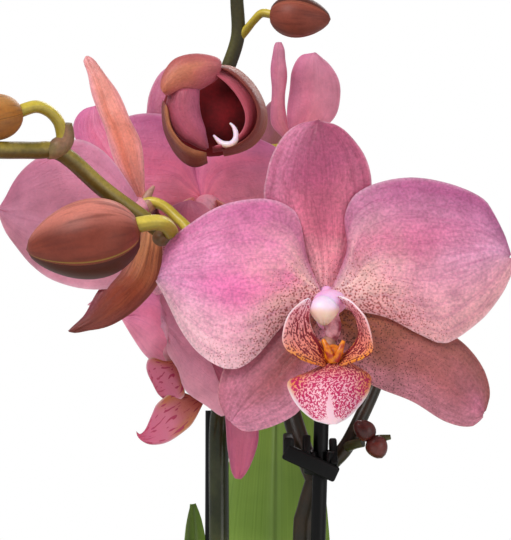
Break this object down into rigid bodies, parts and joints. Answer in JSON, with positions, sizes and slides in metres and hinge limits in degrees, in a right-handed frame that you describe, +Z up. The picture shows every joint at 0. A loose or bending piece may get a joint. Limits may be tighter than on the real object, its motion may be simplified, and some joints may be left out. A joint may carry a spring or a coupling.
{
  "type": "potted moth orchid",
  "caption": "Many-flowered moth orchid with pink spotted blooms on clipped, staked spikes above strap leaves, growing in bark in a plain round pot; stands as a house plant.",
  "frame": {"origin": "centre of the pot's flat underside", "axes": "+Z up, the front bloom faces -Y, the left spike reaches to -X"},
  "size_m": [0.31, 0.1396, 0.412],
  "materials": {
    "petals": "soft matt petal, rose pink with magenta veins",
    "lips": "soft matt petal, pale pink with crimson spots",
    "buds": "waxy bud skin, salmon brown",
    "stems": "waxy stem skin, olive",
    "stakes": "satin black",
    "clips": "satin black",
    "leaves": "waxy leaf skin, mid green",
    "crown": "waxy, pale green",
    "roots": "chalky silver green",
    "bark": "rough bark chips",
    "pot": "smooth pale glaze"
  },
  "bodies": {
    "root": {"bloom_a": "petals", "bloom_a_lip": "lips", "bloom_b": "petals", "bloom_b_lip": "lips", "bloom_c": "petals", "bloom_c_lip": "lips", "bloom_d": "petals", "bloom_d_lip": "lips", "bloom_e": "petals", "bloom_e_lip": "lips", "bloom_f": "petals", "bloom_f_lip": "lips", "bloom_g": "petals", "bloom_g_lip": "lips", "bud_big": "buds", "bud_edge": "buds", "bud_top": "buds", "bud_opening": "buds", "bud_tail": "buds", "bud_crest": "buds", "shoot_buds": "buds", "spike_left": "stems", "spike_right": "stems", "stake_left": "stakes", "stake_front": "stakes", "clip_front": "clips", "clip_front_low": "clips", "clip_left_low": "clips", "leaf_1": "leaves", "leaf_2": "leaves", "leaf_3": "leaves", "leaf_4": "leaves", "leaf_5": "leaves", "leaf_6": "leaves", "crown": "crown", "roots": "roots", "bark": "bark", "pot": "pot"}
  },
  "joints": []
}
